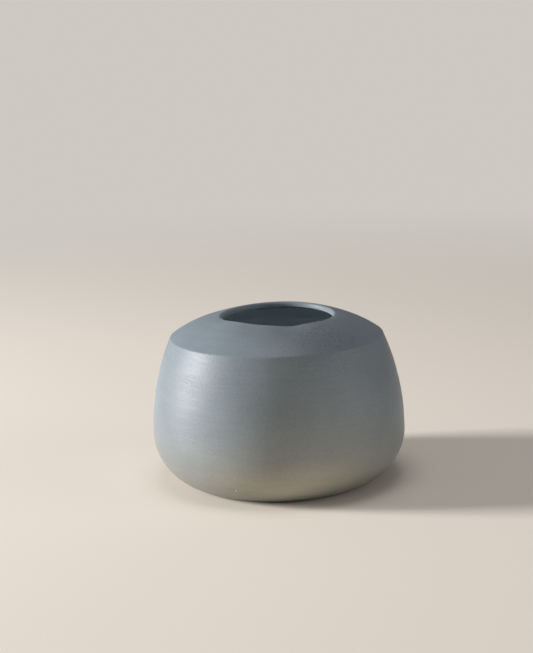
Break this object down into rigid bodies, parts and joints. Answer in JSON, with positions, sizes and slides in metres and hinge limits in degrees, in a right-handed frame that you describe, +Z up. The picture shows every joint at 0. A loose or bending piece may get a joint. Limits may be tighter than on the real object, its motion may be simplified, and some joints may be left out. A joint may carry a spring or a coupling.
{
  "type": "round shouldered vase",
  "caption": "Low round stoneware vase: full belly, wall drawn in to an angular shoulder, gently crowned top and a wide mouth with a thin rounded lip.",
  "frame": {"origin": "middle of the foot, on the ground", "axes": "+Z up through the middle of the pot, -Y towards the side the picture shows, +X to its right"},
  "size_m": [0.2, 0.2, 0.132],
  "materials": {
    "bare_clay": "unglazed, ground flat",
    "satin_clay": "satin blue-grey, finely sanded",
    "glaze": "smooth satin glaze, pale blue-grey"
  },
  "bodies": {
    "root": {"foot_ring": "bare_clay", "lower_bowl": "satin_clay", "shoulder_cap": "satin_clay", "inner_glaze": "glaze"}
  },
  "joints": []
}
